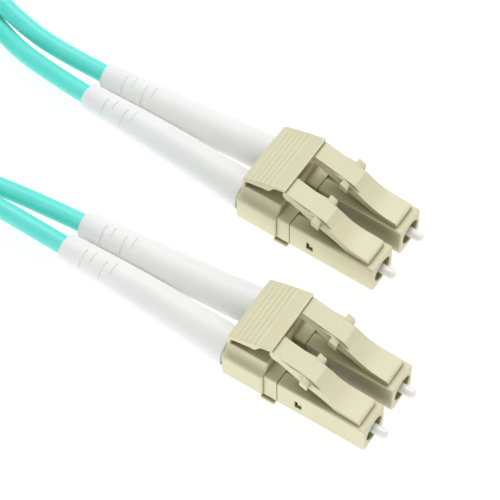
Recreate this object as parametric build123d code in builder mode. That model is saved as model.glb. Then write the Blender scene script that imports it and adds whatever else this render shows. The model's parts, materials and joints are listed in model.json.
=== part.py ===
from build123d import *
import os
from math import pi, radians, sqrt, tan

# A duplex fibre optic patch cord: two duplex plugs, joined by two jacketed legs that run side by side.
# Millimetres. The floor is z = 0 and the plugs lie on it with their ferrules towards +X.
# Each connector is drawn in its own frame: x = 0 on the housing's front face, +X along the ferrule,
# y = z = 0 on the ferrule's axis. Each duplex clip is drawn in the plug's frame, midway between
# its two connectors, with z = 0 on the ferrules' axes.

# Standard interface
PITCH = 6.25
FERRULE_R = 0.6245
FERRULE_OUT = 1.75
BODY_W = 4.42
BODY_H = 4.52

# Housing
HOUSING_L = 12.0
FRONT_BORE_R = 1.625
FRONT_BORE_L = 7.0
SEAT_L = 0.4
SOCKET_W = 3.5
SOCKET_H = 3.6
EDGE_R = 0.25
THROUGH_R = 0.85
WINDOW = ((-9.6, -3, -0.95), (-8.65, 3, 0.45))
KEY_SLOT = ((-HOUSING_L - 1, -0.35, 1.0), (-9.4, 0.35, 3.0))

# Latch arm, as a side outline on top of the housing
LATCH_W = 3.1
ROOT_FRONT = -1.0
ROOT_TOP_Z = 3.72
HINGE_X = -4.3
HINGE_Z = 2.36
HINGE_GAP = 0.03
LATCH_TOP = ((-6.6, 4.7), (-7.35, 5.66), (-12.95, 7.2), (-13.52, 6.9), (-13.6, 6.3))
LATCH_UNDERSIDE = ((-12.6, 5.35), (-9.2, 4.05), (-7.0, 3.25))
EARS = ((-8.95, -2.2, 4.7), (-7.95, 2.2, 5.75))

# Rear body and the parts in it
SEAM = 0.08
REAR_SQUARE_END = -16.0
REAR_ROUND_END = -18.4
REAR_ROUND_R = 2.0
NOSE_L = 1.6
NOSE_PLAY = 0.08
TABS = ((-10.6, 1.4, 1.68), (-9.3, 1.6, 1.98))
TAB_FRONT = -8.75
TAB_LOW = -0.55
TAB_HIGH = 0.35
STEM_END = -22.5
STEM_R = 1.25
SPRING_BORE_R = 1.32
SPRING_SEAT_X = -15.4
FIBRE_BORE_R = 0.62
FERRULE_STEP = -6.9
FERRULE_ROOT_R = 0.58
FLANGE_R = 1.3
FLANGE_L = 1.5
FLANGE_TUBE_R = 0.75
FLANGE_TUBE_L = 1.8
FLANGE_GRIP = 0.55
FIBRE_R = 0.45
FIBRE_END = -24.0
SPRING_R = 1.03
SPRING_WIRE_R = 0.14
SPRING_TURNS = 7

# Crimp sleeve
CRIMP_FRONT = -19.0
CRIMP_L = 3.6
CRIMP_R = 1.6
CRIMP_NECK_L = 1.2
CRIMP_NECK_R = 1.5

# Duplex clip and trigger
AXIS_H = 2.9
CLIP_FRONT = -13.85
CLIP_REAR = -19.6
CLIP_HALF_W = 5.82
CLIP_TOP = 3.75
LIP_FRONT = -12.25
LIP_HALF_W = 2.6
LIP_T = 0.55
TRIGGER_HALF_W = 4.55
TRIGGER_HINGE = (-19.2, 4.1)
KNUCKLE_R = 0.28

# Boot and cable
BOOT_FRONT = -19.78
BOOT_L = 24.8
BOOT_FRONT_R = 2.5
BOOT_NECK_R = 2.12
BOOT_END_R = 1.78
BOOT_RIM_R = 1.42
BOOT_CHAMBER_R = 2.05
BOOT_CHAMBER_L = 6.0
GROOVES = (-17.2, -18.4, -20.2, -21.4)
GROOVE_W = 0.26
GROOVE_ARC = 110
CABLE_R = 1.2
CABLE_FIT = 0.03

# Where each plug lies on the floor, x, y and turn in degrees, and how far each boot leans inwards
PLUGS = {"a": (16.23, 9.5, 0.0), "b": (26.93, -9.17, 0.98)}
BOOT_TURN = {1: -2.0, 2: 3.5}

# Coil of the spare length, in line with the plugs: the two legs are stacked, wound inwards on the lower layer
# and outwards on the upper one
COIL_AT = (-70.0, -1.0)
COIL_R = 22.0
COIL_GAP = 2.45
COIL_TURNS_IN = 4.08
COIL_PLAY = 0.1
TIE_T = 0.5
TIE_W = 7.0
TIE_PLAY = 0.1

# Routes of the four free stretches of cable, from inside the boot to the coil. Leg 1 runs from connector a1
# to b2 and leg 2 from a2 to b1, as in a crossed duplex cord.
ROUTES = {
    "cable_1_a": [
        (-22.74, 7.045, 2.9), (-34.5, 7.456, 2.9), (-43.0, 9.2, 2.0), (-51.0, 13.4, 1.45), (-59.0, 18.05, 1.7),
    ],
    "cable_2_a": [
        (-22.71, 11.453, 2.9), (-34.5, 10.73, 2.9), (-43.0, 11.6, 3.5), (-51.0, 14.2, 3.95), (-59.0, 18.05, 4.2),
    ],
    "cable_1_b": [
        (-12.04, -7.884, 2.9), (-22.6, -8.711, 2.9), (-33.0, -10.4, 3.2), (-42.0, -12.6, 4.0),
        (-50.5, -15.7, 5.4), (-59.0, -20.05, 6.5),
    ],
    "cable_2_b": [
        (-11.99, -12.291, 2.9), (-22.6, -12.102, 2.9), (-33.0, -12.9, 4.3), (-42.0, -14.1, 6.3),
        (-50.5, -16.3, 7.95), (-59.0, -20.05, 9.0),
    ],
}

os.makedirs("parts", exist_ok=True)
written = {}


def write(piece, node, place):
    """Put a finished piece in its place on the floor and write it under its node's name."""
    part = piece.part.moved(place)
    part.label = node
    export_step(part, f"parts/{node}.step")
    written[node] = part


def box_between(low, high, mode=Mode.ADD):
    """Add a box between two corners to the part that is being built, or cut it away."""
    middle = [(a + b) / 2 for a, b in zip(low, high)]
    with Locations(tuple(middle)):
        Box(*[b - a for a, b in zip(low, high)], mode=mode)


# ---------------------------------------------------------------- connector pieces

# Housing: square body with a round front bore, a seat for the ferrule's flange, a square rear socket,
# side windows for the rear body's tabs, a key slot on top and the fixed root of the latch arm.
with BuildPart() as housing:
    with BuildSketch(Plane.YZ):
        Rectangle(BODY_W, BODY_H)
    extrude(amount=-HOUSING_L)
    fillet(housing.edges().filter_by(Axis.X), EDGE_R)
    fillet(housing.faces().sort_by(Axis.X)[-1].edges(), EDGE_R * 0.8)
    with BuildSketch(Plane.XZ):
        with BuildLine():
            Polyline(
                (ROOT_FRONT, BODY_H / 2 - 0.1),
                (ROOT_FRONT, BODY_H / 2 + 0.75),
                (ROOT_FRONT - 0.3, BODY_H / 2 + 1.0),
                (HINGE_X + HINGE_GAP, ROOT_TOP_Z),
                (HINGE_X + HINGE_GAP, BODY_H / 2 - 0.1),
                close=True,
            )
        make_face()
    extrude(amount=LATCH_W / 2, both=True)
    with BuildSketch(Plane.YZ):
        Circle(FRONT_BORE_R)
    extrude(amount=-FRONT_BORE_L, mode=Mode.SUBTRACT)
    with BuildSketch(Plane.YZ):
        Circle(THROUGH_R)
    extrude(amount=-HOUSING_L, mode=Mode.SUBTRACT)
    with BuildSketch(Plane.YZ.offset(-HOUSING_L)):
        Rectangle(SOCKET_W, SOCKET_H)
    extrude(amount=HOUSING_L - FRONT_BORE_L - SEAT_L, mode=Mode.SUBTRACT)
    box_between(*WINDOW, mode=Mode.SUBTRACT)
    box_between(*KEY_SLOT, mode=Mode.SUBTRACT)

# Latch arm: the moving part of the latch, from the bend behind its root to the rounded rear end.
with BuildPart() as latch:
    with BuildSketch(Plane.XZ):
        with BuildLine():
            Polyline(
                (HINGE_X - HINGE_GAP, HINGE_Z),
                (HINGE_X - HINGE_GAP, ROOT_TOP_Z),
                *LATCH_TOP,
                *LATCH_UNDERSIDE,
                close=True,
            )
        make_face()
    extrude(amount=LATCH_W / 2, both=True)
    box_between(*EARS)

# Rear body: square where it shows, with two tabbed arms that snap into the housing's windows,
# a spring chamber, a round shank that the clip holds and a stem for the crimp sleeve.
with BuildPart() as rear_body:
    with BuildSketch(Plane.YZ.offset(-HOUSING_L - SEAM)):
        Rectangle(BODY_W, BODY_H)
    extrude(amount=REAR_SQUARE_END + HOUSING_L + SEAM)
    fillet(rear_body.edges().filter_by(Axis.X), EDGE_R)
    with BuildSketch(Plane.YZ.offset(REAR_SQUARE_END)):
        Circle(REAR_ROUND_R)
    extrude(amount=REAR_ROUND_END - REAR_SQUARE_END)
    with BuildSketch(Plane.YZ.offset(REAR_ROUND_END)):
        Circle(STEM_R)
    extrude(amount=STEM_END - REAR_ROUND_END)
    with BuildSketch(Plane.YZ.offset(-HOUSING_L - SEAM)):
        Rectangle(SOCKET_W - NOSE_PLAY, SOCKET_H - NOSE_PLAY)
    extrude(amount=NOSE_L)
    for side in (-1, 1):
        for rear, inner, outer in TABS:
            low_y, high_y = sorted((side * inner, side * outer))
            box_between((rear, low_y, TAB_LOW), (TAB_FRONT, high_y, TAB_HIGH))
    with BuildSketch(Plane.YZ.offset(-8.0)):
        Circle(SPRING_BORE_R)
    extrude(amount=SPRING_SEAT_X + 8.0, mode=Mode.SUBTRACT)
    with BuildSketch(Plane.YZ.offset(SPRING_SEAT_X)):
        Circle(FIBRE_BORE_R)
    extrude(amount=STEM_END - SPRING_SEAT_X - 1, mode=Mode.SUBTRACT)

# Ferrule: zirconia rod with a bevelled tip and a slightly tapered root, which the flange grips.
FLANGE_FRONT = -(FRONT_BORE_L + SEAT_L) - 0.03
FERRULE_REAR = FLANGE_FRONT - FLANGE_GRIP
ROOT_L = FERRULE_STEP - FERRULE_REAR
ROOT_PLACE = Location((FERRULE_REAR + ROOT_L / 2, 0, 0), (0, 90, 0))
with BuildPart() as ferrule:
    with BuildSketch(Plane.YZ.offset(FERRULE_STEP)):
        Circle(FERRULE_R)
    extrude(amount=FERRULE_OUT - FERRULE_STEP)
    chamfer(ferrule.faces().sort_by(Axis.X)[-1].edges(), 0.22, 0.16)
    with Locations(ROOT_PLACE):
        Cone(FERRULE_ROOT_R, FERRULE_R, ROOT_L)

# Flange: metal collar pressed on the ferrule's rear end, with a tube that guides the spring.
with BuildPart() as flange:
    with BuildSketch(Plane.YZ.offset(FLANGE_FRONT)):
        RegularPolygon(FLANGE_R, 6)
    extrude(amount=-FLANGE_L)
    with BuildSketch(Plane.YZ.offset(FLANGE_FRONT - FLANGE_L)):
        Circle(FLANGE_TUBE_R)
    extrude(amount=-FLANGE_TUBE_L)
    with Locations(ROOT_PLACE):
        Cone(FERRULE_ROOT_R, FERRULE_R, ROOT_L, mode=Mode.SUBTRACT)
    with BuildSketch(Plane.YZ.offset(FERRULE_REAR)):
        Circle(FIBRE_R)
    extrude(amount=-FLANGE_L - FLANGE_TUBE_L, mode=Mode.SUBTRACT)

# Buffered fibre: runs from the ferrule's rear end through the spring and the stem into the boot.
with BuildPart() as fibre:
    with BuildSketch(Plane.YZ.offset(FERRULE_REAR)):
        Circle(FIBRE_R)
    extrude(amount=FIBRE_END - FERRULE_REAR)

# Spring: pushes the flange forward against its seat.
SPRING_FRONT = FLANGE_FRONT - FLANGE_L - SPRING_WIRE_R - 0.01
SPRING_L = SPRING_FRONT - SPRING_SEAT_X - SPRING_WIRE_R - 0.01
with BuildPart() as spring:
    with BuildLine():
        coils = Helix(pitch=SPRING_L / SPRING_TURNS, height=SPRING_L, radius=SPRING_R,
                      center=(SPRING_FRONT, 0, 0), direction=(-1, 0, 0))
    with BuildSketch(Plane(origin=coils @ 0, z_dir=coils % 0)):
        Circle(SPRING_WIRE_R)
    sweep(path=coils, is_frenet=True)

# Crimp sleeve: holds the cable's yarns on the stem, with a narrower neck behind it.
with BuildPart() as crimp_sleeve:
    with BuildSketch(Plane.YZ.offset(CRIMP_FRONT)):
        Circle(CRIMP_R)
        Circle(STEM_R + 0.01, mode=Mode.SUBTRACT)
    extrude(amount=-CRIMP_L)
    with BuildSketch(Plane.YZ.offset(CRIMP_FRONT - CRIMP_L)):
        Circle(CRIMP_NECK_R)
        Circle(FIBRE_BORE_R, mode=Mode.SUBTRACT)
    extrude(amount=-CRIMP_NECK_L)

# Boot: tapered strain relief with a chamber over the crimp sleeve, a bore for the cable
# and thin grooves part of the way round that let its rear end flex. Drawn along -X from its own front face.
with BuildPart() as boot:
    with BuildSketch(Plane.XZ):
        with BuildLine():
            Polyline(
                (0, BOOT_CHAMBER_R),
                (0, BOOT_FRONT_R - 0.15),
                (-0.15, BOOT_FRONT_R),
                (GROOVES[0] + 0.8, BOOT_NECK_R),
                (-BOOT_L + 0.5, BOOT_END_R),
                (-BOOT_L + 0.15, BOOT_END_R - 0.12),
                (-BOOT_L, BOOT_RIM_R),
                (-BOOT_L, CABLE_R + CABLE_FIT),
                (-BOOT_CHAMBER_L - 1.0, CABLE_R + CABLE_FIT),
                (-BOOT_CHAMBER_L, BOOT_CHAMBER_R - 0.25),
                close=True,
            )
        make_face()
    revolve(axis=Axis.X)
    for number, x in enumerate(GROOVES):
        with BuildSketch(Plane.XY.rotated((8 * (number % 2) - GROOVE_ARC / 2, 0, 0))):
            with Locations((x, BOOT_NECK_R)):
                Rectangle(GROOVE_W, 0.7)
        revolve(axis=Axis.X, revolution_arc=GROOVE_ARC, mode=Mode.SUBTRACT)

# ---------------------------------------------------------------- plug pieces

half = PITCH / 2

# Duplex clip: holds both rear bodies side by side, with a lip under each of them.
with BuildPart() as duplex_clip:
    with BuildSketch(Plane.YZ.offset(CLIP_FRONT)):
        with BuildLine():
            Polyline(
                (-3.6, -AXIS_H), (3.6, -AXIS_H), (4.7, -2.5), (CLIP_HALF_W, -0.9), (CLIP_HALF_W, 1.5),
                (5.45, 2.35), (4.7, 3.2), (3.2, 3.6), (0, CLIP_TOP),
                (-3.2, 3.6), (-4.7, 3.2), (-5.45, 2.35), (-CLIP_HALF_W, 1.5), (-CLIP_HALF_W, -0.9),
                (-4.7, -2.5), close=True,
            )
        make_face()
    extrude(amount=CLIP_REAR - CLIP_FRONT)
    for y in (-half, half):
        box_between((CLIP_FRONT - 1, y - LIP_HALF_W, -AXIS_H), (LIP_FRONT, y + LIP_HALF_W, -AXIS_H + LIP_T))
        with BuildSketch(Plane.YZ.offset(LIP_FRONT + 1)):
            with Locations((y, 0)):
                Rectangle(BODY_W + 0.04, BODY_H + 0.04)
        extrude(amount=REAR_SQUARE_END - 0.03 - LIP_FRONT - 1, mode=Mode.SUBTRACT)
        with BuildSketch(Plane.YZ.offset(CLIP_FRONT)):
            with Locations((y, 0)):
                Circle(REAR_ROUND_R + 0.03)
        extrude(amount=CLIP_REAR - CLIP_FRONT, mode=Mode.SUBTRACT)

# Trigger: ribbed flap on a knuckle at the clip's rear, over the rear ends of both latches.
with BuildPart() as trigger:
    hinge_x, hinge_z = TRIGGER_HINGE
    with BuildSketch(Plane.XZ):
        with BuildLine():
            Polyline(
                (hinge_x - 0.22, hinge_z),
                (hinge_x - 0.12, 5.2),
                (hinge_x + 0.25, 5.55),
                (-15.9, 6.85),
                (-13.3, 7.72),
                (-13.15, 7.5),
                (-13.6, 7.2),
                (-14.4, 6.95),
                (-15.1, 6.35),
                (-15.8, 5.62),
                (-16.4, 5.72),
                (hinge_x + 0.5, 5.0),
                (hinge_x + 0.28, 4.7),
                (hinge_x + 0.25, hinge_z),
                close=True,
            )
        make_face()
    extrude(amount=TRIGGER_HALF_W, both=True)
    with BuildSketch(Plane.XZ):
        with Locations((hinge_x, hinge_z)):
            Circle(KNUCKLE_R)
    extrude(amount=TRIGGER_HALF_W - 0.3, both=True)

# ---------------------------------------------------------------- write the plugs

for plug, (x, y, turn) in PLUGS.items():
    plug_place = Location((x, y, AXIS_H), (0, 0, turn))
    write(duplex_clip, f"duplex_clip_{plug}", plug_place)
    write(trigger, f"trigger_{plug}", plug_place)
    for number, offset in ((1, -half), (2, half)):
        name = f"{plug}{number}"
        here = plug_place * Location((0, offset, 0))
        boot_place = here * Location((BOOT_FRONT, 0, 0), (0, 0, BOOT_TURN[number]))
        for piece, node in (
            (housing, "housing"), (latch, "latch"), (rear_body, "rear_body"), (ferrule, "ferrule"),
            (flange, "ferrule_flange"), (fibre, "buffered_fibre"), (spring, "spring"),
            (crimp_sleeve, "crimp_sleeve"),
        ):
            write(piece, f"{node}_{name}", here)
        write(boot, f"boot_{name}", boot_place)

box = Compound(children=list(written.values())).bounding_box()
print("plugs' box", box.min, box.max)

# ---------------------------------------------------------------- cables, coil and tie

floor = Location()

# Free stretches of cable: straight runs joined by tangent arcs as large as the runs allow.
for node, points in ROUTES.items():
    route = [Vector(*point) for point in points]
    runs = [b - a for a, b in zip(route, route[1:])]
    radii = []
    for before, after in zip(runs, runs[1:]):
        half_turn = radians(before.get_angle(after)) / 2
        radii.append(0.45 * min(before.length, after.length) / tan(half_turn))
    with BuildPart() as cable:
        with BuildLine():
            path = FilletPolyline(*route, radius=radii)
        with BuildSketch(Plane(origin=path @ 0, z_dir=path % 0)):
            Circle(CABLE_R)
        sweep(path=path)
    share = cable.part.volume / (path.length * pi * CABLE_R**2)
    print(node, "length", round(path.length, 1), "volume share", round(share, 4), [round(r, 1) for r in radii])
    write(cable, node, floor)

# Coil: the closed outer shape of both legs' turns.
coil_inner = COIL_R - COIL_TURNS_IN * COIL_GAP - CABLE_R - COIL_PLAY
with BuildPart() as cable_coil:
    with BuildSketch(Plane.XY.offset(TIE_T)):
        with Locations(COIL_AT):
            Circle(COIL_R + CABLE_R + COIL_PLAY)
            Circle(coil_inner, mode=Mode.SUBTRACT)
    extrude(amount=4 * COIL_GAP)
write(cable_coil, "cable_coil", floor)

# Tie: a strap round the coil's bundle of turns, on the side away from the plugs.
tie_near = sqrt(coil_inner**2 - (TIE_W / 2) ** 2) - TIE_PLAY
tie_far = COIL_R + CABLE_R + COIL_PLAY + TIE_PLAY
tie_middle = COIL_AT[0] - (tie_near + tie_far) / 2
tie_inner_w = tie_far - tie_near
tie_inner_h = 4 * COIL_GAP + 0.05
with BuildPart() as coil_tie:
    with BuildSketch(Plane.XZ.offset(-COIL_AT[1])):
        with Locations((tie_middle, TIE_T + tie_inner_h / 2)):
            RectangleRounded(tie_inner_w + 2 * TIE_T, tie_inner_h + 2 * TIE_T, TIE_T + 0.3)
            RectangleRounded(tie_inner_w, tie_inner_h, 0.3, mode=Mode.SUBTRACT)
    extrude(amount=TIE_W / 2, both=True)
write(coil_tie, "coil_tie", floor)
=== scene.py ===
import json
from math import cos, pi, radians, sin

import bmesh
import bpy
from mathutils import Matrix, Vector


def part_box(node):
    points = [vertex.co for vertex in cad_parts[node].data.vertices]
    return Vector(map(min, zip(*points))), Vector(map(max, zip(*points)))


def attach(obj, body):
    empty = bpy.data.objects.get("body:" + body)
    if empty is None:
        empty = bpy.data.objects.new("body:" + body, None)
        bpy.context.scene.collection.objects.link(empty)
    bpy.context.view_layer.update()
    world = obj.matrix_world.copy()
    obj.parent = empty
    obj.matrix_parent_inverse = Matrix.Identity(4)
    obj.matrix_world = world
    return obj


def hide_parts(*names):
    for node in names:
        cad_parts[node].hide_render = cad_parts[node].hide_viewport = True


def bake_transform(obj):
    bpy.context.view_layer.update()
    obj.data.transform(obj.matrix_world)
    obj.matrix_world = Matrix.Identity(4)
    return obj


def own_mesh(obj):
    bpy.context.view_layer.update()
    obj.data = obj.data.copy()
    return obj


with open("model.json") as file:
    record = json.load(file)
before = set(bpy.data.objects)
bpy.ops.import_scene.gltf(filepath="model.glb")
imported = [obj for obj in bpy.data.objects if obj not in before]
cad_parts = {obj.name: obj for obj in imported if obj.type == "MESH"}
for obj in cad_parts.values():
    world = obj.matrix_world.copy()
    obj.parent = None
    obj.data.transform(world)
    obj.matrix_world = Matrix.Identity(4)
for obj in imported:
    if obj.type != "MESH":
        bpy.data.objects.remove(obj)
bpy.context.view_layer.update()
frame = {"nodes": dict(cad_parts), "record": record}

# Shapes are drawn in millimetres in a plug's or a connector's own frame, as in the CAD: x = 0 on the
# housings' front faces with +X along the ferrules, z = 0 on the ferrules' axes. The frame's mounts say
# where each plug is.
MM = 0.001
MOUNTS = {mount["name"]: mount for mount in frame["record"]["mounts"]}
ROOT = "cord"
PLUGS = ("a", "b")
SIDES = {"1": -1, "2": 1}
HALF_PITCH = (Vector(MOUNTS["ferrule_a1"]["pos_m"]) - Vector(MOUNTS["ferrule_a2"]["pos_m"])).length / MM / 2


def plug_place(plug):
    """Matrix from a plug's own millimetres to the frame."""
    mount = MOUNTS[f"plug_{plug}_envelope"]
    forward = Vector(mount["axis"])
    up = Vector((0, 0, 1))
    place = Matrix((forward, up.cross(forward), up)).transposed().to_4x4()
    place.translation = Vector(mount["pos_m"])
    return place @ Matrix.Scale(MM, 4)


def connector_place(plug, side):
    """Matrix from one connector's own millimetres to the frame."""
    return plug_place(plug) @ Matrix.Translation((0, SIDES[side] * HALF_PITCH, 0))


# ---------------------------------------------------------------- camera, light and floor

AIM = Vector((1.43, -0.255, 2.9)) * MM
CAMERA_DISTANCE = 302.6 * MM
CAMERA_AZIMUTH = radians(-54.48)
CAMERA_ELEVATION = radians(58.82)
CAMERA_ROLL = radians(-1.7)
LENS = 180
CLOSEST_SEEN = 0.01
WORLD_STRENGTH = 0.64
# Direction the light comes from, strength, and how many degrees wide it is
SUNS = {"key": ((-0.1, 0.55, 1.0), 1.42, 35), "table": ((0.05, -1.0, -0.4), 0.85, 40)}
FLOOR_SIZE = 0.9
FLOOR_GAP = 0.02 * MM


def make_camera():
    level_share = cos(CAMERA_ELEVATION)
    away = Vector((cos(CAMERA_AZIMUTH) * level_share, sin(CAMERA_AZIMUTH) * level_share,
                   sin(CAMERA_ELEVATION)))
    camera = bpy.data.objects.new("camera", bpy.data.cameras.new("camera"))
    bpy.context.collection.objects.link(camera)
    camera.data.lens = LENS
    camera.data.clip_start = CLOSEST_SEEN
    level = away.to_track_quat("Z", "Y").to_matrix().to_4x4()
    place = Matrix.Translation(AIM + away * CAMERA_DISTANCE) @ level
    camera.matrix_world = place @ Matrix.Rotation(CAMERA_ROLL, 4, "Z")
    bpy.context.scene.camera = camera


def make_sun(name, direction, strength, softness):
    """A soft light that shines from a direction."""
    sun = bpy.data.objects.new(name, bpy.data.lights.new(name, "SUN"))
    bpy.context.collection.objects.link(sun)
    sun.data.energy = strength
    sun.data.angle = radians(softness)
    sun.rotation_mode = "QUATERNION"
    sun.rotation_quaternion = Vector(direction).to_track_quat("Z", "Y")


def make_studio():
    scene = bpy.context.scene
    scene.view_settings.view_transform = "Standard"
    world = bpy.data.worlds.new("studio")
    world.use_nodes = True
    world.node_tree.nodes["Background"].inputs["Color"].default_value = (1, 1, 1, 1)
    world.node_tree.nodes["Background"].inputs["Strength"].default_value = WORLD_STRENGTH
    scene.world = world
    for name, (direction, strength, softness) in SUNS.items():
        make_sun(name, direction, strength, softness)
    floor = mesh_object("floor", plane(FLOOR_SIZE))
    floor.location = (AIM.x, AIM.y, -FLOOR_GAP)
    floor.data.materials.append(floor_material())
    floor.visible_shadow = False


# ---------------------------------------------------------------- mesh tools

WELD = 0.0005


def mesh_object(name, bm):
    """A named object from a bmesh, linked to the scene."""
    bmesh.ops.recalc_face_normals(bm, faces=bm.faces[:])
    mesh = bpy.data.meshes.new(name)
    bm.to_mesh(mesh)
    bm.free()
    obj = bpy.data.objects.new(name, mesh)
    bpy.context.collection.objects.link(obj)
    return obj


def plane(size):
    bm = bmesh.new()
    bmesh.ops.create_grid(bm, x_segments=8, y_segments=8, size=size / 2)
    return bm


def loft(rings, closed=False):
    """Quads between rings of equal count, with a face over each end, or the last ring joined to the first."""
    bm = bmesh.new()
    loops = [[bm.verts.new(point) for point in ring] for ring in rings]
    pairs = list(zip(loops, loops[1:]))
    if closed:
        pairs.append((loops[-1], loops[0]))
    for low, high in pairs:
        for i in range(len(low)):
            j = (i + 1) % len(low)
            bm.faces.new((low[i], low[j], high[j], high[i]))
    if not closed:
        bm.faces.new(loops[0])
        bm.faces.new(loops[-1])
    return bm


def lathe(profile, segments=64):
    """A profile of (x, radius) turned round the X axis."""
    turns = [2 * pi * k / segments for k in range(segments)]
    return loft([[(x, r * sin(t), r * cos(t)) for t in turns] for x, r in profile])


def prism(outline, half_width):
    """A side outline of (x, z) stretched from -half_width to half_width along Y."""
    return loft([[(x, y, z) for x, z in outline] for y in (-half_width, half_width)])


def box(low, high):
    (x0, y0, z0), (x1, y1, z1) = low, high
    return loft([[(x, y0, z0), (x, y1, z0), (x, y1, z1), (x, y0, z1)] for x in (x0, x1)])


def clamped(value):
    """The value, held between 0 and 1."""
    return min(1, max(0, value))


def arc(centre, radius, start, end, steps):
    """Points of an arc, with angles in degrees."""
    angles = [radians(start + (end - start) * k / steps) for k in range(steps + 1)]
    return [(centre[0] + radius * cos(a), centre[1] + radius * sin(a)) for a in angles]


def curve_through(start, pull, end, steps):
    """Points of a quadratic curve from start to end, pulled towards a third point."""
    shares = [k / steps for k in range(steps + 1)]
    return [tuple((1 - t) ** 2 * a + 2 * t * (1 - t) * b + t * t * c for a, b, c in zip(start, pull, end))
            for t in shares]


def rounded_section(x, width, height, radius, steps=5):
    """A ring at x: a rectangle across the ferrule's axis with rounded corners."""
    corners = ((1, 1, 0), (-1, 1, 90), (-1, -1, 180), (1, -1, 270))
    ring = []
    for side, rise, start in corners:
        centre = (side * (width / 2 - radius), rise * (height / 2 - radius))
        ring += [(x, y, z) for y, z in arc(centre, radius, start, start + 90, steps)]
    return ring


def settle(obj):
    """Apply the object's modifiers."""
    mesh = bpy.data.meshes.new_from_object(obj.evaluated_get(bpy.context.evaluated_depsgraph_get()))
    obj.modifiers.clear()
    obj.data = mesh


def combine(obj, bm, how):
    """Join a second solid to the object, or cut it away."""
    other = mesh_object(obj.name + "_tool", bm)
    modifier = obj.modifiers.new("combine", "BOOLEAN")
    modifier.solver = "EXACT"
    modifier.operation = how
    modifier.object = other
    settle(obj)
    bpy.data.objects.remove(other)


def soften(obj, width, segments=3, angle=40, where=None):
    """Round the object's sharp edges, or those of them that where(edge) picks."""
    bm = bmesh.new()
    bm.from_mesh(obj.data)
    bmesh.ops.remove_doubles(bm, verts=bm.verts[:], dist=WELD)
    bmesh.ops.dissolve_degenerate(bm, edges=bm.edges[:], dist=WELD)
    edges = [edge for edge in bm.edges if edge.is_manifold and edge.calc_face_angle() > radians(angle)]
    if where:
        edges = [edge for edge in edges if where(edge)]
    bmesh.ops.bevel(bm, geom=edges, offset=width, segments=segments, profile=0.5, affect="EDGES",
                    clamp_overlap=True)
    bm.to_mesh(obj.data)
    bm.free()


def finish_mesh(obj, angle=40):
    """Smooth shading that keeps flat faces flat."""
    obj.data.shade_smooth()
    obj.data.set_sharp_from_angle(angle=radians(angle))
    obj.modifiers.new("flat_faces", "WEIGHTED_NORMAL").keep_sharp = True


def copy_of(obj, name, place):
    """A copy of a piece that was drawn in millimetres, in its place in the frame."""
    copy = bpy.data.objects.new(name, obj.data.copy())
    for modifier in obj.modifiers:
        copy.modifiers.new(modifier.name, modifier.type).keep_sharp = True
    bpy.context.collection.objects.link(copy)
    copy.data.transform(place)
    return copy


# ---------------------------------------------------------------- materials


def new_material(name, roughness):
    material = bpy.data.materials.new(name)
    material.use_nodes = True
    shader = material.node_tree.nodes["Principled BSDF"]
    shader.inputs["Roughness"].default_value = roughness
    return material, shader


def add_node(material, kind, **inputs):
    node = material.node_tree.nodes.new(kind)
    for name, value in inputs.items():
        node.inputs[name.replace("_", " ")].default_value = value
    return node


def object_noise(material, size_mm, detail=3.0):
    """Noise whose features are about size_mm across, fixed to the object."""
    place = material.node_tree.nodes.new("ShaderNodeTexCoord")
    noise = add_node(material, "ShaderNodeTexNoise", Scale=1 / (size_mm * MM), Detail=detail)
    material.node_tree.links.new(place.outputs["Object"], noise.inputs["Vector"])
    return noise.outputs["Fac"]


def vary(material, shader, colours, size_mm):
    """Base colour that drifts between two close shades."""
    ramp = material.node_tree.nodes.new("ShaderNodeValToRGB")
    ramp.color_ramp.elements[0].position = 0.3
    ramp.color_ramp.elements[1].position = 0.7
    for element, colour in zip(ramp.color_ramp.elements, colours):
        element.color = (*colour, 1)
    material.node_tree.links.new(object_noise(material, size_mm), ramp.inputs["Fac"])
    material.node_tree.links.new(ramp.outputs["Color"], shader.inputs["Base Color"])


def vary_roughness(material, shader, low, high, size_mm):
    spread = add_node(material, "ShaderNodeMapRange", To_Min=low, To_Max=high)
    material.node_tree.links.new(object_noise(material, size_mm), spread.inputs["Value"])
    material.node_tree.links.new(spread.outputs["Result"], shader.inputs["Roughness"])


def grain(material, shader, size_mm, depth_mm, strength=1.0):
    """Fine surface grain."""
    bump = add_node(material, "ShaderNodeBump", Strength=strength, Distance=depth_mm * MM)
    material.node_tree.links.new(object_noise(material, size_mm), bump.inputs["Height"])
    material.node_tree.links.new(bump.outputs["Normal"], shader.inputs["Normal"])


def paint_shade_in_hollows(material, shader, colour, reach_mm):
    """Painted shade: darken the base colour towards a given colour in slots and under overhangs, by how
    enclosed each point is, in place of the shade and light bounced between walls of one colour.
    """
    tree = material.node_tree
    open_sky = add_node(material, "ShaderNodeAmbientOcclusion", Distance=reach_mm * MM)
    open_sky.samples = 6
    share = add_node(material, "ShaderNodeMapRange", From_Min=0.3, From_Max=0.88)
    blend = tree.nodes.new("ShaderNodeMix")
    blend.data_type = "RGBA"
    before = shader.inputs["Base Color"].links[0].from_socket
    tree.links.new(open_sky.outputs["AO"], share.inputs["Value"])
    tree.links.new(share.outputs["Result"], blend.inputs["Factor"])
    # the painted shade's colour, mixed in where the surface is enclosed
    blend.inputs[6].default_value = (*colour, 1)
    tree.links.new(before, blend.inputs[7])
    tree.links.new(blend.outputs[2], shader.inputs["Base Color"])


def scatter(shader, weight, radius):
    """Let light in under the surface, by a distance in metres for each of red, green and blue."""
    shader.inputs["Subsurface Weight"].default_value = weight
    shader.inputs["Subsurface Radius"].default_value = radius
    shader.inputs["Subsurface Scale"].default_value = 1.0


def floor_material():
    """A plain light table: pale, and lit from below."""
    material, shader = new_material("floor_white", 0.8)
    vary(material, shader, ((0.24, 0.24, 0.24), (0.25, 0.25, 0.25)), 60)
    shader.inputs["Specular IOR Level"].default_value = 0.1
    shader.inputs["Emission Color"].default_value = (1, 1, 1, 1)
    shader.inputs["Emission Strength"].default_value = 0.85
    return material


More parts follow.
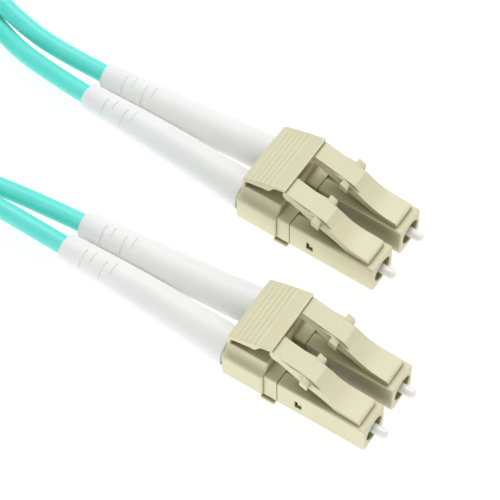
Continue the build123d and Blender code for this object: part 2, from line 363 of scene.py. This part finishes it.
def plug_plastic():
    """Satin moulded plastic, warm grey-beige."""
    material, shader = new_material("plug_plastic", 0.42)
    vary(material, shader, ((0.685, 0.655, 0.445), (0.71, 0.68, 0.47)), 2.5)
    # painted shade: olive darkening of the base colour in slots and under overhangs
    paint_shade_in_hollows(material, shader, (0.26, 0.235, 0.085), 3.6)
    vary_roughness(material, shader, 0.36, 0.5, 0.6)
    grain(material, shader, 0.09, 0.006, 0.5)
    scatter(shader, 0.06, (0.0008, 0.0006, 0.0003))
    return material


def boot_plastic():
    """Soft white moulded plastic."""
    material, shader = new_material("boot_plastic", 0.5)
    vary(material, shader, ((0.91, 0.915, 0.905), (0.93, 0.935, 0.925)), 4)
    vary_roughness(material, shader, 0.42, 0.56, 0.8)
    grain(material, shader, 0.12, 0.006, 0.5)
    scatter(shader, 0.35, (0.003, 0.003, 0.003))
    return material


def cable_jacket():
    """Aqua extruded jacket, faintly uneven along its length."""
    material, shader = new_material("cable_jacket", 0.36)
    vary(material, shader, ((0.12, 0.76, 0.67), (0.145, 0.80, 0.71)), 1.8)
    vary_roughness(material, shader, 0.3, 0.44, 0.5)
    grain(material, shader, 0.2, 0.008, 0.5)
    return material


def zirconia():
    """Fired ceramic, ground and polished."""
    material, shader = new_material("zirconia", 0.28)
    vary(material, shader, ((0.84, 0.83, 0.79), (0.87, 0.86, 0.82)), 0.8)
    vary_roughness(material, shader, 0.24, 0.34, 0.3)
    shader.inputs["IOR"].default_value = 1.7
    scatter(shader, 0.1, (0.0005, 0.0005, 0.0005))
    return material


def metal(name, colour, low, high, size_mm):
    material, shader = new_material(name, low)
    vary(material, shader, (tuple(0.94 * c for c in colour), colour), size_mm)
    vary_roughness(material, shader, low, high, size_mm / 2)
    grain(material, shader, size_mm / 3, 0.004, 0.6)
    shader.inputs["Metallic"].default_value = 1.0
    return material


def fibre_buffer():
    material, shader = new_material("fibre_buffer", 0.3)
    vary(material, shader, ((0.80, 0.80, 0.72), (0.86, 0.86, 0.80)), 1.0)
    return material


def tie_fabric():
    """Black hook-and-loop strap: a field of fine loops."""
    material, shader = new_material("tie_fabric", 0.9)
    vary(material, shader, ((0.012, 0.012, 0.014), (0.05, 0.05, 0.055)), 0.18)
    place = material.node_tree.nodes.new("ShaderNodeTexCoord")
    loops = add_node(material, "ShaderNodeTexVoronoi", Scale=1 / (0.35 * MM))
    bump = add_node(material, "ShaderNodeBump", Strength=1.0, Distance=0.12 * MM)
    material.node_tree.links.new(place.outputs["Object"], loops.inputs["Vector"])
    material.node_tree.links.new(loops.outputs["Distance"], bump.inputs["Height"])
    material.node_tree.links.new(bump.outputs["Normal"], shader.inputs["Normal"])
    shader.inputs["Sheen Weight"].default_value = 0.4
    return material


MATERIALS = {
    "plug_plastic": plug_plastic(),
    "boot_plastic": boot_plastic(),
    "cable_jacket": cable_jacket(),
    "zirconia": zirconia(),
    "flange_metal": metal("flange_metal", (0.72, 0.71, 0.69), 0.16, 0.3, 0.6),
    "spring_steel": metal("spring_steel", (0.55, 0.55, 0.57), 0.25, 0.4, 0.4),
    "crimp_metal": metal("crimp_metal", (0.70, 0.70, 0.71), 0.3, 0.5, 0.5),
    "fibre_buffer": fibre_buffer(),
    "tie_fabric": tie_fabric(),
}


def dress(obj, slot):
    obj.data.materials.clear()
    obj.data.materials.append(MATERIALS[slot])


# ---------------------------------------------------------------- connector pieces

HOUSING_L = 12.0
BODY_W = 4.42
BODY_H = 4.52
EDGE = 0.28
FRONT_BORE_R = 1.625
FRONT_BORE_L = 7.0
BORE_EDGE = 0.1
THROUGH_R = 0.85
SOCKET = ((-HOUSING_L - 1, -1.75, -1.8), (-FRONT_BORE_L - 0.4, 1.75, 1.8))
WINDOW = ((-9.6, -3, -0.95), (-8.65, 3, 0.45))
KEY_SLOT = ((-HOUSING_L - 1, -0.35, 1.0), (-9.4, 0.35, 3.0))


def draw_housing():
    """Square moulded body with its front bore, rear socket, snap windows and key slot."""
    front = [(-EDGE + EDGE * sin(t), EDGE * (1 - cos(t))) for t in (0, pi / 8, pi / 4, 3 * pi / 8, pi / 2)]
    rings = [rounded_section(-HOUSING_L, BODY_W, BODY_H, EDGE)]
    rings += [rounded_section(x, BODY_W - 2 * inset, BODY_H - 2 * inset, EDGE) for x, inset in front]
    obj = mesh_object("housing", loft(rings))
    mouth_r = FRONT_BORE_R + BORE_EDGE
    bore_line = [(0.2, mouth_r), (0, mouth_r), (-BORE_EDGE, FRONT_BORE_R), (-FRONT_BORE_L, FRONT_BORE_R)]
    bore = lathe(bore_line, 72)
    through = lathe([(-1, THROUGH_R), (-HOUSING_L + 1, THROUGH_R)])
    for hollow in (bore, through, box(*SOCKET), box(*WINDOW), box(*KEY_SLOT)):
        combine(obj, hollow, "DIFFERENCE")
    soften(obj, 0.05, 2, 60)
    finish_mesh(obj)
    return obj


LATCH_FRONT = -1.0
RAMP_BOTTOM = (-6.6, 4.7)
RAMP_TOP = (-7.35, 5.66)
LATCH_CREASE = (-12.95, 7.25)
BLOCK = (RAMP_BOTTOM, RAMP_TOP, LATCH_CREASE, (-13.28, 7.2), (-13.52, 6.98), (-13.62, 6.6), (-13.5, 6.1),
         (-13.1, 5.72), (-12.5, 5.62), (-9.5, 4.9), (-8.0, 4.4))
BLOCK_HALF_W = 1.27
EAR_REAR = -8.95
EAR_FRONT = -7.95
EARS = ((EAR_FRONT, 5.42), (EAR_FRONT - 0.12, 5.6), (EAR_REAR + 0.14, 6.02), (EAR_REAR, 5.9),
        (EAR_REAR, 5.05), (EAR_FRONT, 4.6))
EARS_HALF_W = 2.2
ROOT_HALF_W = 1.74
# Where the arm narrows, going back: where it starts, over what length and by how much on each side
SWEEP = (-2.0, 4.4, 0.22)
TAIL = (-9.0, 3, 0.24)


def latch_top():
    """The arm's top line from its root to the foot of the ramp and on under the block."""
    line = [(LATCH_FRONT, 2.2), (LATCH_FRONT, 2.85), (-1.12, 3.02), (-1.35, 3.1)]
    line += curve_through((-2.6, 3.22), (-4.9, 3.42), RAMP_BOTTOM, 12)
    line += [(-9.0, 6.06), (-10.5, 6.3), (-12.4, 6.85)]
    return line


def latch_underside():
    line = [(-12.6, 5.75), (-9.2, 4.35)]
    line += curve_through((-7.0, 3.55), (-5.2, 2.7), (-4.45, 2.32), 8)
    return line + [(-4.2, 2.2)]


def latch_half_width(x):
    """Wide at the root, drawn in along the sweep, and narrower still behind the ears."""
    sweep_start, sweep_length, sweep_depth = SWEEP
    tail_start, tail_length, tail_depth = TAIL
    share = clamped((sweep_start - x) / sweep_length)
    ease = share * share * (3 - 2 * share)
    return ROOT_HALF_W - sweep_depth * ease - tail_depth * clamped((tail_start - x) / tail_length)


def draw_latch():
    """Latch with its root plate, swept arm, ears and raised block, as one moulding."""
    outline = latch_top() + latch_underside()
    sides = [[(x, side * latch_half_width(x), z) for x, z in outline] for side in (-1, 1)]
    obj = mesh_object("latch", loft(sides))
    combine(obj, prism(BLOCK, BLOCK_HALF_W), "UNION")
    combine(obj, prism(EARS, EARS_HALF_W), "UNION")
    soften(obj, 0.08, 3, 34)
    finish_mesh(obj, 32)
    return obj


FERRULE_R = 0.6245
FERRULE_TIP = 1.75
FERRULE_REAR = -7.98
FERRULE_STEP = -6.9
FERRULE_ROOT_R = 0.6
TIP_L = 0.42
TIP_ROUND_R = 0.34
TIP_ROUND_AXIS_R = 0.28


def draw_ferrule():
    """Zirconia rod with a rounded tip and a shallow pinhole where the fibre ends."""
    shoulder = FERRULE_TIP - TIP_L
    profile = [(FERRULE_REAR, FERRULE_ROOT_R), (FERRULE_STEP, FERRULE_ROOT_R), (FERRULE_STEP, FERRULE_R),
               (shoulder, FERRULE_R)]
    profile += [(shoulder + x, r + TIP_ROUND_AXIS_R) for x, r in arc((0, 0), TIP_ROUND_R, 80, 20, 6)]
    profile += [(FERRULE_TIP - 0.03, 0.4), (FERRULE_TIP, 0.2), (FERRULE_TIP, 0.07),
                (FERRULE_TIP - 0.05, 0.063)]
    obj = mesh_object("ferrule", lathe(profile))
    finish_mesh(obj, 50)
    return obj


SPRING_R = 1.03
SPRING_WIRE_R = 0.14
SPRING_SEAT = -15.4
SPRING_FRONT = -9.08
SPRING_TURNS = 7
STEPS_IN_TURN = 32
POINTS_ROUND_WIRE = 10


def draw_spring():
    """Helical spring between the ferrule's flange and its seat."""
    length = SPRING_FRONT - SPRING_SEAT - SPRING_WIRE_R
    steps = SPRING_TURNS * STEPS_IN_TURN
    round_wire = [2 * pi * k / POINTS_ROUND_WIRE for k in range(POINTS_ROUND_WIRE)]
    rings = []
    for k in range(steps + 1):
        turn = 2 * pi * SPRING_TURNS * k / steps
        out = Vector((0, -sin(turn), cos(turn)))
        middle = Vector((SPRING_FRONT - length * k / steps, 0, 0)) + SPRING_R * out
        rings.append([middle + SPRING_WIRE_R * (cos(a) * out + sin(a) * Vector((1, 0, 0)))
                      for a in round_wire])
    obj = mesh_object("spring", loft(rings))
    finish_mesh(obj, 60)
    return obj


BOOT_FRONT = -19.78
BOOT_L = 24.8
BOOT_TURN = {"1": -2.0, "2": 3.5}
BOOT_BEND = 0.2
BOOT_SEGMENTS = 120
# Outer radius at the front, at the neck and at the end, and how far back the neck is
BOOT_FRONT_R = 2.5
BOOT_NECK_R = 2.12
BOOT_END_R = 1.78
BOOT_NECK_AT = 16.4
BOOT_RIM_ROUND = 0.45
# Distance behind the front face and radius, from the inside of the front bore to the front edge's rounding
BOOT_MOUTH = ((5.0, 1.8), (0.12, 2.05), (0.0, 2.1), (0.0, 2.36), (0.06, 2.44), (0.16, 2.49))
# The same round the cable's hole, as distances from the boot's end
BOOT_HOLE = ((0, 1.3), (0.08, 1.24), (4, 1.235))
# Each groove's x, the angle of its middle from the top and half its span, in degrees; its twin is opposite
GROOVES = ((-17.2, 11, 30), (-18.4, 34, 42), (-20.2, 11, 30), (-21.4, 34, 42))
GROOVE_W = 0.24
GROOVE_DEPTH = 0.26


def boot_radius(along):
    """The boot's outer radius at a distance along -X from its front face."""
    if along < BOOT_NECK_AT:
        return BOOT_FRONT_R - (BOOT_FRONT_R - BOOT_NECK_R) * along / BOOT_NECK_AT
    return BOOT_NECK_R - (BOOT_NECK_R - BOOT_END_R) * (along - BOOT_NECK_AT) / (BOOT_L - BOOT_NECK_AT)


def groove_depth(along, angle):
    """How deep the grooves cut at a place, with their ends run out softly."""
    depth = 0
    for x, middle, half_span in GROOVES:
        across = abs(along + x) / (GROOVE_W / 2)
        for centre in (middle, middle + 180):
            away = abs((angle - centre + 180) % 360 - 180)
            if across < 1 and away < half_span:
                ends = min(1, (half_span - away) / 8)
                depth = max(depth, GROOVE_DEPTH * ends * (1 - across ** 4))
    return depth


def boot_stations():
    """Distances along the boot where it has a ring: evenly spaced, and close together at the grooves."""
    over_groove = (-1.3, -1, -0.85, -0.6, -0.25, 0.25, 0.6, 0.85, 1, 1.3)
    fine = [-x + GROOVE_W / 2 * t for x, _, _ in GROOVES for t in over_groove]
    coarse = [0.3 + k * (BOOT_L - 1.0) / 30 for k in range(31)]
    return sorted(fine + [a for a in coarse if all(abs(a - b) > 0.2 for b in fine)])


def boot_ring(along, radius, bend, carved=False):
    """A ring round the boot, moved aside by the bend, with the grooves cut into it if carved."""
    aside = bend * sin(pi * (along / BOOT_L))
    points = []
    for k in range(BOOT_SEGMENTS):
        angle = 360 * k / BOOT_SEGMENTS
        r = radius - (groove_depth(along, angle) if carved else 0)
        points.append((-along, aside - r * sin(radians(angle)), r * cos(radians(angle))))
    return points


def draw_boot(bend):
    """Tapered strain relief with flexing grooves and its bore, bent a little sideways."""
    rings = [boot_ring(along, radius, bend) for along, radius in BOOT_MOUTH]
    rings += [boot_ring(along, boot_radius(along), bend, True) for along in boot_stations()]
    rim = boot_radius(BOOT_L) - BOOT_RIM_ROUND
    rings += [boot_ring(BOOT_L - BOOT_RIM_ROUND + x, rim + r, bend)
              for x, r in arc((0, 0), BOOT_RIM_ROUND, 90, 0, 6)]
    rings += [boot_ring(BOOT_L - back, radius, bend) for back, radius in BOOT_HOLE]
    obj = mesh_object("boot", loft(rings, closed=True))
    finish_mesh(obj, 50)
    return obj


# ---------------------------------------------------------------- plug pieces

AXIS_H = 2.9
CLIP_FRONT = -13.85
CLIP_REAR = -19.6
CLIP_HALF_W = 5.82
CLIP_FLOOR = -AXIS_H
CLIP_EDGE = 0.3
CLIP_MIDDLE_Z = 0.4
CLIP_HALF_H = 3.4
LIP_HALF_W = 2.55
LIP_TOP = -2.38
LIP_FRONT = -12.25
POCKET_REAR = -16.03
POCKET_HALF_W = 2.24
POCKET_HALF_H = 2.29
SHANK_HOLE_R = 2.04
CUT_FRONT = -12
TRIGGER_HALF_W = 4.55
TRIGGER_RIBS = 6
RIBS_FRONT = (-15.0, 7.15)
RIBS_REAR = (-18.95, 5.6)
RIB_RISE = 0.11
RIBS_CROWN = 0.05
STEPS_IN_RIB = 6


def clip_section():
    """Half of the clip's outline across the ferrules, from its floor up to its middle top."""
    half = [(3.9, CLIP_FLOOR), (4.35, -2.8)]
    half += arc((4.1, -1.1), 1.72, -62, -8, 5)
    half += arc((CLIP_HALF_W - 0.52, 1.92), 0.52, 0, 72, 6)
    half += curve_through((5.2, 2.52), (4.7, 2.72), (4.45, 3.35), 6)
    half += [(4.32, 3.6), (4.1, 3.7), (2.2, 3.74), (0, 3.76)]
    return half


def clip_lip(y):
    """The lip under one connector, as a bmesh."""
    low, high = CLIP_FLOOR + 0.02, LIP_TOP
    section = [(y - LIP_HALF_W, low), (y + LIP_HALF_W, low), (y + LIP_HALF_W, high), (y - LIP_HALF_W, high)]
    lip = mesh_object("lip", loft([[(x, a, b) for a, b in section] for x in (CLIP_FRONT - 0.35, LIP_FRONT)]))
    soften(lip, 0.2, 3, 40)
    bm = bmesh.new()
    bm.from_mesh(lip.data)
    bpy.data.objects.remove(lip)
    return bm


def draw_clip():
    """Duplex clip: one moulding round both rear bodies, with a lip under each."""
    half = clip_section()
    outline = half + [(-y, z) for y, z in half[-2::-1]]
    rings = []
    for x, share in ((CLIP_REAR, 1), (CLIP_REAR + 0.1, 0.4), (CLIP_REAR + CLIP_EDGE, 0),
                     (CLIP_FRONT - CLIP_EDGE, 0), (CLIP_FRONT - 0.1, 0.4), (CLIP_FRONT, 1)):
        pull = CLIP_EDGE * share
        narrower = 1 - pull / CLIP_HALF_W
        lower = 1 - pull / CLIP_HALF_H
        rings.append([(x, y * narrower, (z - CLIP_MIDDLE_Z) * lower + CLIP_MIDDLE_Z) for y, z in outline])
    obj = mesh_object("duplex_clip", loft(rings))
    for side in (-1, 1):
        y = side * HALF_PITCH
        combine(obj, clip_lip(y), "UNION")
        pocket = box((POCKET_REAR, y - POCKET_HALF_W, -POCKET_HALF_H),
                     (CUT_FRONT, y + POCKET_HALF_W, POCKET_HALF_H))
        combine(obj, pocket, "DIFFERENCE")
        hole = lathe([(CUT_FRONT, SHANK_HOLE_R), (CLIP_REAR - 1, SHANK_HOLE_R)])
        bmesh.ops.translate(hole, verts=hole.verts[:], vec=(0, y, 0))
        combine(obj, hole, "DIFFERENCE")
    soften(obj, 0.06, 2, 50)
    finish_mesh(obj, 35)
    return obj


def rib_line():
    """The trigger's ribbed top, from the rear forwards, as a row of shallow scallops."""
    line = []
    for rib in range(TRIGGER_RIBS):
        for step in range(STEPS_IN_RIB):
            share = (rib + step / STEPS_IN_RIB) / TRIGGER_RIBS
            scallop = RIB_RISE * sin(pi * step / STEPS_IN_RIB) ** 0.55
            x = RIBS_REAR[0] + (RIBS_FRONT[0] - RIBS_REAR[0]) * share
            z = RIBS_REAR[1] + (RIBS_FRONT[1] - RIBS_REAR[1]) * share + RIBS_CROWN * sin(pi * share) + scallop
            line.append((x, z))
    return line + [RIBS_FRONT]


def on_one_side(edge):
    """Whether the edge runs along the outline of one of the trigger's two sides."""
    ends = [vert.co.y for vert in edge.verts]
    return all(abs(y) > TRIGGER_HALF_W - 0.01 for y in ends) and ends[0] * ends[1] > 0


def draw_trigger():
    """Ribbed flap that springs from the clip's rear and covers the latches' ends."""
    outline = [(-19.45, 3.62), (-19.42, 4.3), (-19.38, 4.9)]
    outline += arc((-18.98, 5.1), 0.4, 175, 118, 5)
    outline += rib_line()
    outline += [(-14.2, 7.44), (-13.4, 7.72), (-13.2, 7.66), (-13.18, 7.42), (-13.6, 7.22)]
    outline += curve_through((-14.0, 7.1), (-14.75, 7.02), (-15.15, 6.3), 5)
    outline += curve_through((-15.3, 6.0), (-15.6, 5.5), (-16.2, 5.62), 5)
    outline += [(-17.3, 5.35), (-18.6, 5.02), (-18.9, 4.86), (-19.0, 4.6), (-18.98, 3.62)]
    obj = mesh_object("trigger", prism(outline, TRIGGER_HALF_W))
    soften(obj, 0.16, 3, 60, on_one_side)
    finish_mesh(obj, 38)
    return obj


# ---------------------------------------------------------------- put the plugs together


PLAIN_NODES = {"rear_body": "plug_plastic", "ferrule_flange": "flange_metal",
               "buffered_fibre": "fibre_buffer", "crimp_sleeve": "crimp_metal"}


def add_piece(drawn, name, place, node, slot, body=None):
    """A copy of a drawn piece in its place, in a CAD node's stead, that may ride on a body."""
    piece = copy_of(drawn, name, place)
    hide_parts(node)
    if body:
        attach(piece, body)
    dress(piece, slot)
    return piece


def add_bending(drawn, name, place, node):
    """A plastic piece in a CAD node's stead, with its place baked into its mesh."""
    piece = add_piece(drawn, name, place, node, "plug_plastic")
    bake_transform(piece)


def add_spring(drawn, name, place):
    """The spring, riding on the root body, with a mesh of its own."""
    piece = add_piece(drawn, f"spring_coil_{name}", place, f"spring_{name}", "spring_steel", ROOT)
    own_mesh(piece)


def add_boot(drawn, name, side, place):
    boot_place = place @ Matrix.Translation((BOOT_FRONT, 0, 0))
    boot_place = boot_place @ Matrix.Rotation(radians(BOOT_TURN[side]), 4, "Z")
    add_piece(drawn, f"boot_sleeve_{name}", boot_place, f"boot_{name}", "boot_plastic", ROOT)


def place_copies():
    housing, latch, ferrule, spring = draw_housing(), draw_latch(), draw_ferrule(), draw_spring()
    boots = {side: draw_boot(-sign * BOOT_BEND) for side, sign in SIDES.items()}
    clip, trigger = draw_clip(), draw_trigger()
    for plug in PLUGS:
        here = plug_place(plug)
        add_piece(clip, f"clip_moulding_{plug}", here, f"duplex_clip_{plug}", "plug_plastic", ROOT)
        add_bending(trigger, f"press_trigger_{plug}", here, f"trigger_{plug}")
        for side in SIDES:
            name = plug + side
            here = connector_place(plug, side)
            add_piece(housing, f"housing_body_{name}", here, f"housing_{name}", "plug_plastic", ROOT)
            add_bending(latch, f"latch_arm_{name}", here, f"latch_{name}")
            add_piece(ferrule, f"ferrule_rod_{name}", here, f"ferrule_{name}", "zirconia", f"ferrule_{name}")
            add_spring(spring, name, here)
            add_boot(boots[side], name, side, here)
            for node, slot in PLAIN_NODES.items():
                dress(frame["nodes"][f"{node}_{name}"], slot)
    for piece in (housing, latch, ferrule, spring, clip, trigger, *boots.values()):
        bpy.data.objects.remove(piece)


# ---------------------------------------------------------------- cables

CABLE_D = 2.4
ROUTES = {
    "1_a": [(-22.74, 7.045, 2.9), (-34.5, 7.456, 2.9), (-43.0, 9.2, 2.0), (-51.0, 13.4, 1.45),
            (-59.0, 18.05, 1.7)],
    "2_a": [(-22.71, 11.453, 2.9), (-34.5, 10.73, 2.9), (-43.0, 11.6, 3.5), (-51.0, 14.2, 3.95),
            (-59.0, 18.05, 4.2)],
    "1_b": [(-12.04, -7.884, 2.9), (-22.6, -8.711, 2.9), (-33.0, -10.4, 3.2), (-42.0, -12.6, 4.0),
            (-50.5, -15.7, 5.4), (-59.0, -20.05, 6.5)],
    "2_b": [(-11.99, -12.291, 2.9), (-22.6, -12.102, 2.9), (-33.0, -12.9, 4.3), (-42.0, -14.1, 6.3),
            (-50.5, -16.3, 7.95), (-59.0, -20.05, 9.0)],
}
COIL_AT = (-70.0, -1.0)
COIL_R = 22.0
COIL_GAP = 2.45
COIL_START = 60
TURNS_IN = 4.08
TURNS_OUT = 3.587
TURN_POINTS = 16
CLIMB = 0.25
CLIMB_STEP_OUT = 1.2
LAYER_HEIGHTS = {"1": 1.725, "2": 4.175}


def coil_points(base):
    """Turns of one leg: inwards on the lower layer, a climb, then outwards on the upper one."""
    points = []
    turns = TURNS_IN + TURNS_OUT
    count = round(turns * TURN_POINTS)
    for k in range(1, count):
        turn = k * turns / count
        if turn < TURNS_IN:
            radius, height = COIL_R - COIL_GAP * turn, base
        else:
            climbed = min(1, (turn - TURNS_IN) / CLIMB)
            height = base + 2 * COIL_GAP * climbed
            if climbed == 1:
                radius = COIL_R - COIL_GAP * (turns - turn)
            else:
                radius = COIL_R - COIL_GAP * TURNS_IN + CLIMB_STEP_OUT * climbed ** 3
        angle = radians(COIL_START + 360 * turn)
        reach = radius / cos(pi / TURN_POINTS)
        points.append((COIL_AT[0] + reach * cos(angle), COIL_AT[1] + reach * sin(angle), height))
    return points


def make_cable(leg, nodes):
    """One jacketed leg, from its boot on plug a, through the coil, to its boot on plug b."""
    points = ROUTES[f"{leg}_a"] + coil_points(LAYER_HEIGHTS[leg]) + ROUTES[f"{leg}_b"][::-1]
    data = bpy.data.curves.new(f"cable_leg_{leg}", "CURVE")
    data.dimensions = "3D"
    data.bevel_depth = 1
    data.bevel_resolution = 7
    data.resolution_u = 8
    data.use_fill_caps = True
    spline = data.splines.new("NURBS")
    spline.points.add(len(points) - 1)
    for knot, point in zip(spline.points, points):
        knot.co = (*(Vector(point) * MM), 1)
        knot.radius = CABLE_D / 2 * MM
    spline.order_u = 3
    spline.use_endpoint_u = True
    cable = bpy.data.objects.new(f"cable_leg_{leg}", data)
    bpy.context.collection.objects.link(cable)
    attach(cable, ROOT)
    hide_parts(*nodes)
    dress(cable, "cable_jacket")


TIE_THICKNESS = 0.5
TIE_CORNER_R = 0.8
# Corners of the strap's own section, as shares of half its thickness and half its width
TIE_SECTION = ((1, -0.96), (1, 0.96), (0.8, 1), (-0.8, 1), (-1, 0.96), (-1, -0.96), (-0.8, -1), (0.8, -1))


def make_tie():
    """Hook-and-loop strap round the coil, as a plain closed band."""
    low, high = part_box("coil_tie")
    centre = ((low.x + high.x) / 2 / MM, (low.z + high.z) / 2 / MM)
    half_w = (high.x - low.x) / 2 / MM - TIE_THICKNESS / 2
    half_h = (high.z - low.z) / 2 / MM - TIE_THICKNESS / 2
    middle = []
    for sx, sz, start in ((1, 1, 0), (-1, 1, 90), (-1, -1, 180), (1, -1, 270)):
        at = (centre[0] + sx * (half_w - TIE_CORNER_R), centre[1] + sz * (half_h - TIE_CORNER_R))
        middle += arc(at, TIE_CORNER_R, start, start + 90, 6)
    half_width = ((high.y - low.y) / 2) / MM
    y = (low.y + high.y) / 2 / MM
    rings = []
    for k, (x, z) in enumerate(middle):
        before, after = Vector(middle[k - 1]), Vector(middle[(k + 1) % len(middle)])
        along = (after - before).normalized()
        out = Vector((along.y, -along.x)) * TIE_THICKNESS / 2
        rings.append([(x + s * out.x, y + e * half_width, z + s * out.y) for s, e in TIE_SECTION])
    tie = mesh_object("coil_tie_strap", loft(rings, closed=True))
    tie.data.transform(Matrix.Scale(MM, 4))
    finish_mesh(tie, 50)
    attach(tie, ROOT)
    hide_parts("coil_tie")
    dress(tie, "tie_fabric")


make_camera()
make_studio()
place_copies()
make_cable("1", ("cable_1_a", "cable_1_b", "cable_coil"))
make_cable("2", ("cable_2_a", "cable_2_b"))
make_tie()

bpy.context.view_layer.update()
